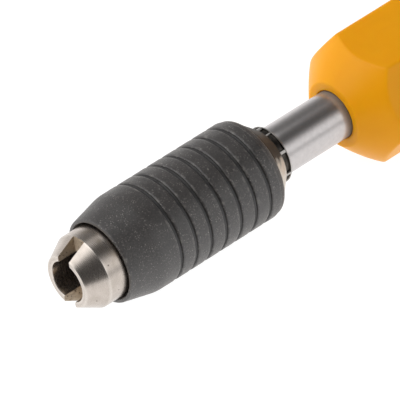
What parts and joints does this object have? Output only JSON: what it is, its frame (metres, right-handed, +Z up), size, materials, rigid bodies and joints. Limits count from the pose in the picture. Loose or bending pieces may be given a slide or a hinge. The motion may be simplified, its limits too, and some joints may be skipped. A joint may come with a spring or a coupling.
{
  "type": "hand drill",
  "caption": "Hand drill with a slotted quick-release chuck, a ribbed sliding sleeve, a polished shaft and a ratchet in a hexagonal handle with a swivelling palm cap.",
  "frame": {"origin": "on the tool axis, in the seat at the bottom of the nose slot where a drill shank's cross pin drives", "axes": "+X along the tool axis from the chuck to the palm cap, +Z up with a handle flat underneath"},
  "size_m": [0.1702, 0.0276, 0.0242],
  "materials": {
    "nose_steel": "turned, lightly stained",
    "hard_steel": "ground",
    "magnet": "plated",
    "turned_steel": "turned",
    "black_grip": "matt, fine grained, dusty",
    "spring_steel": "oiled",
    "polished_steel": "polished",
    "bronze": "sintered",
    "cast_zinc": "as cast",
    "yellow_plastic": "moulded, half gloss",
    "grey_plastic": "moulded",
    "white_plastic": "moulded",
    "black_plastic": "moulded, spark textured"
  },
  "bodies": {
    "handle": {"handle_shell": "yellow_plastic", "front_bush": "bronze", "ratchet_housing": "cast_zinc", "ratchet_cover": "cast_zinc", "pawl_spring_upper": "spring_steel", "pawl_spring_lower": "spring_steel", "spacer_tube": "grey_plastic", "rear_plug": "grey_plastic", "cap_screw": "hard_steel", "cap_washer": "white_plastic"},
    "shaft": {"drive_shaft": "polished_steel", "chuck_body": "nose_steel", "body_pin": "hard_steel", "shank_magnet": "magnet", "sleeve_spring": "spring_steel", "sleeve_collar": "turned_steel", "collar_clip": "spring_steel", "ratchet_wheel": "hard_steel", "thrust_washer": "bronze", "tail_clip": "spring_steel"},
    "sleeve": {"sleeve_grip": "black_grip", "sleeve_liner": "turned_steel"},
    "ball_a": {"lock_ball_a": "hard_steel"},
    "ball_b": {"lock_ball_b": "hard_steel"},
    "pawl_upper": {"pawl_upper": "hard_steel"},
    "pawl_lower": {"pawl_lower": "hard_steel"},
    "palm_cap": {"palm_cap": "black_plastic", "cap_disc": "black_plastic"}
  },
  "joints": [
    {"name": "shaft_turn", "type": "hinge", "parent": "handle", "child": "shaft", "pos_m": [0.0729, 0, 0], "axis": [1, 0, 0], "continuous": true},
    {"name": "sleeve_slide", "type": "slide", "parent": "shaft", "child": "sleeve", "axis": [-1, 0, 0], "range_m": [0, 0.004], "stiffness_N_per_m": 1500, "springref_m": -0.003, "deforming": ["sleeve_spring"]},
    {"name": "ball_a_shift", "type": "slide", "parent": "shaft", "child": "ball_a", "axis": [0, 0.9848, -0.1736], "range_m": [0, 0.0008]},
    {"name": "ball_b_shift", "type": "slide", "parent": "shaft", "child": "ball_b", "axis": [0, -0.9848, 0.1736], "range_m": [0, 0.0008]},
    {"name": "pawl_upper_lift", "type": "slide", "parent": "handle", "child": "pawl_upper", "axis": [0, 0, 1], "range_m": [0, 0.001], "stiffness_N_per_m": 400, "springref_m": -0.001, "deforming": ["pawl_spring_upper"]},
    {"name": "pawl_lower_lift", "type": "slide", "parent": "handle", "child": "pawl_lower", "axis": [0, 0, -1], "range_m": [0, 0.001], "stiffness_N_per_m": 400, "springref_m": -0.001, "deforming": ["pawl_spring_lower"]},
    {"name": "palm_cap_turn", "type": "hinge", "parent": "handle", "child": "palm_cap", "pos_m": [0.158, 0, 0], "axis": [1, 0, 0], "continuous": true}
  ],
  "couplings": [
    {"joint": "ball_a_shift", "follows": "sleeve_slide", "ratio": 0.2},
    {"joint": "ball_b_shift", "follows": "sleeve_slide", "ratio": 0.2}
  ]
}
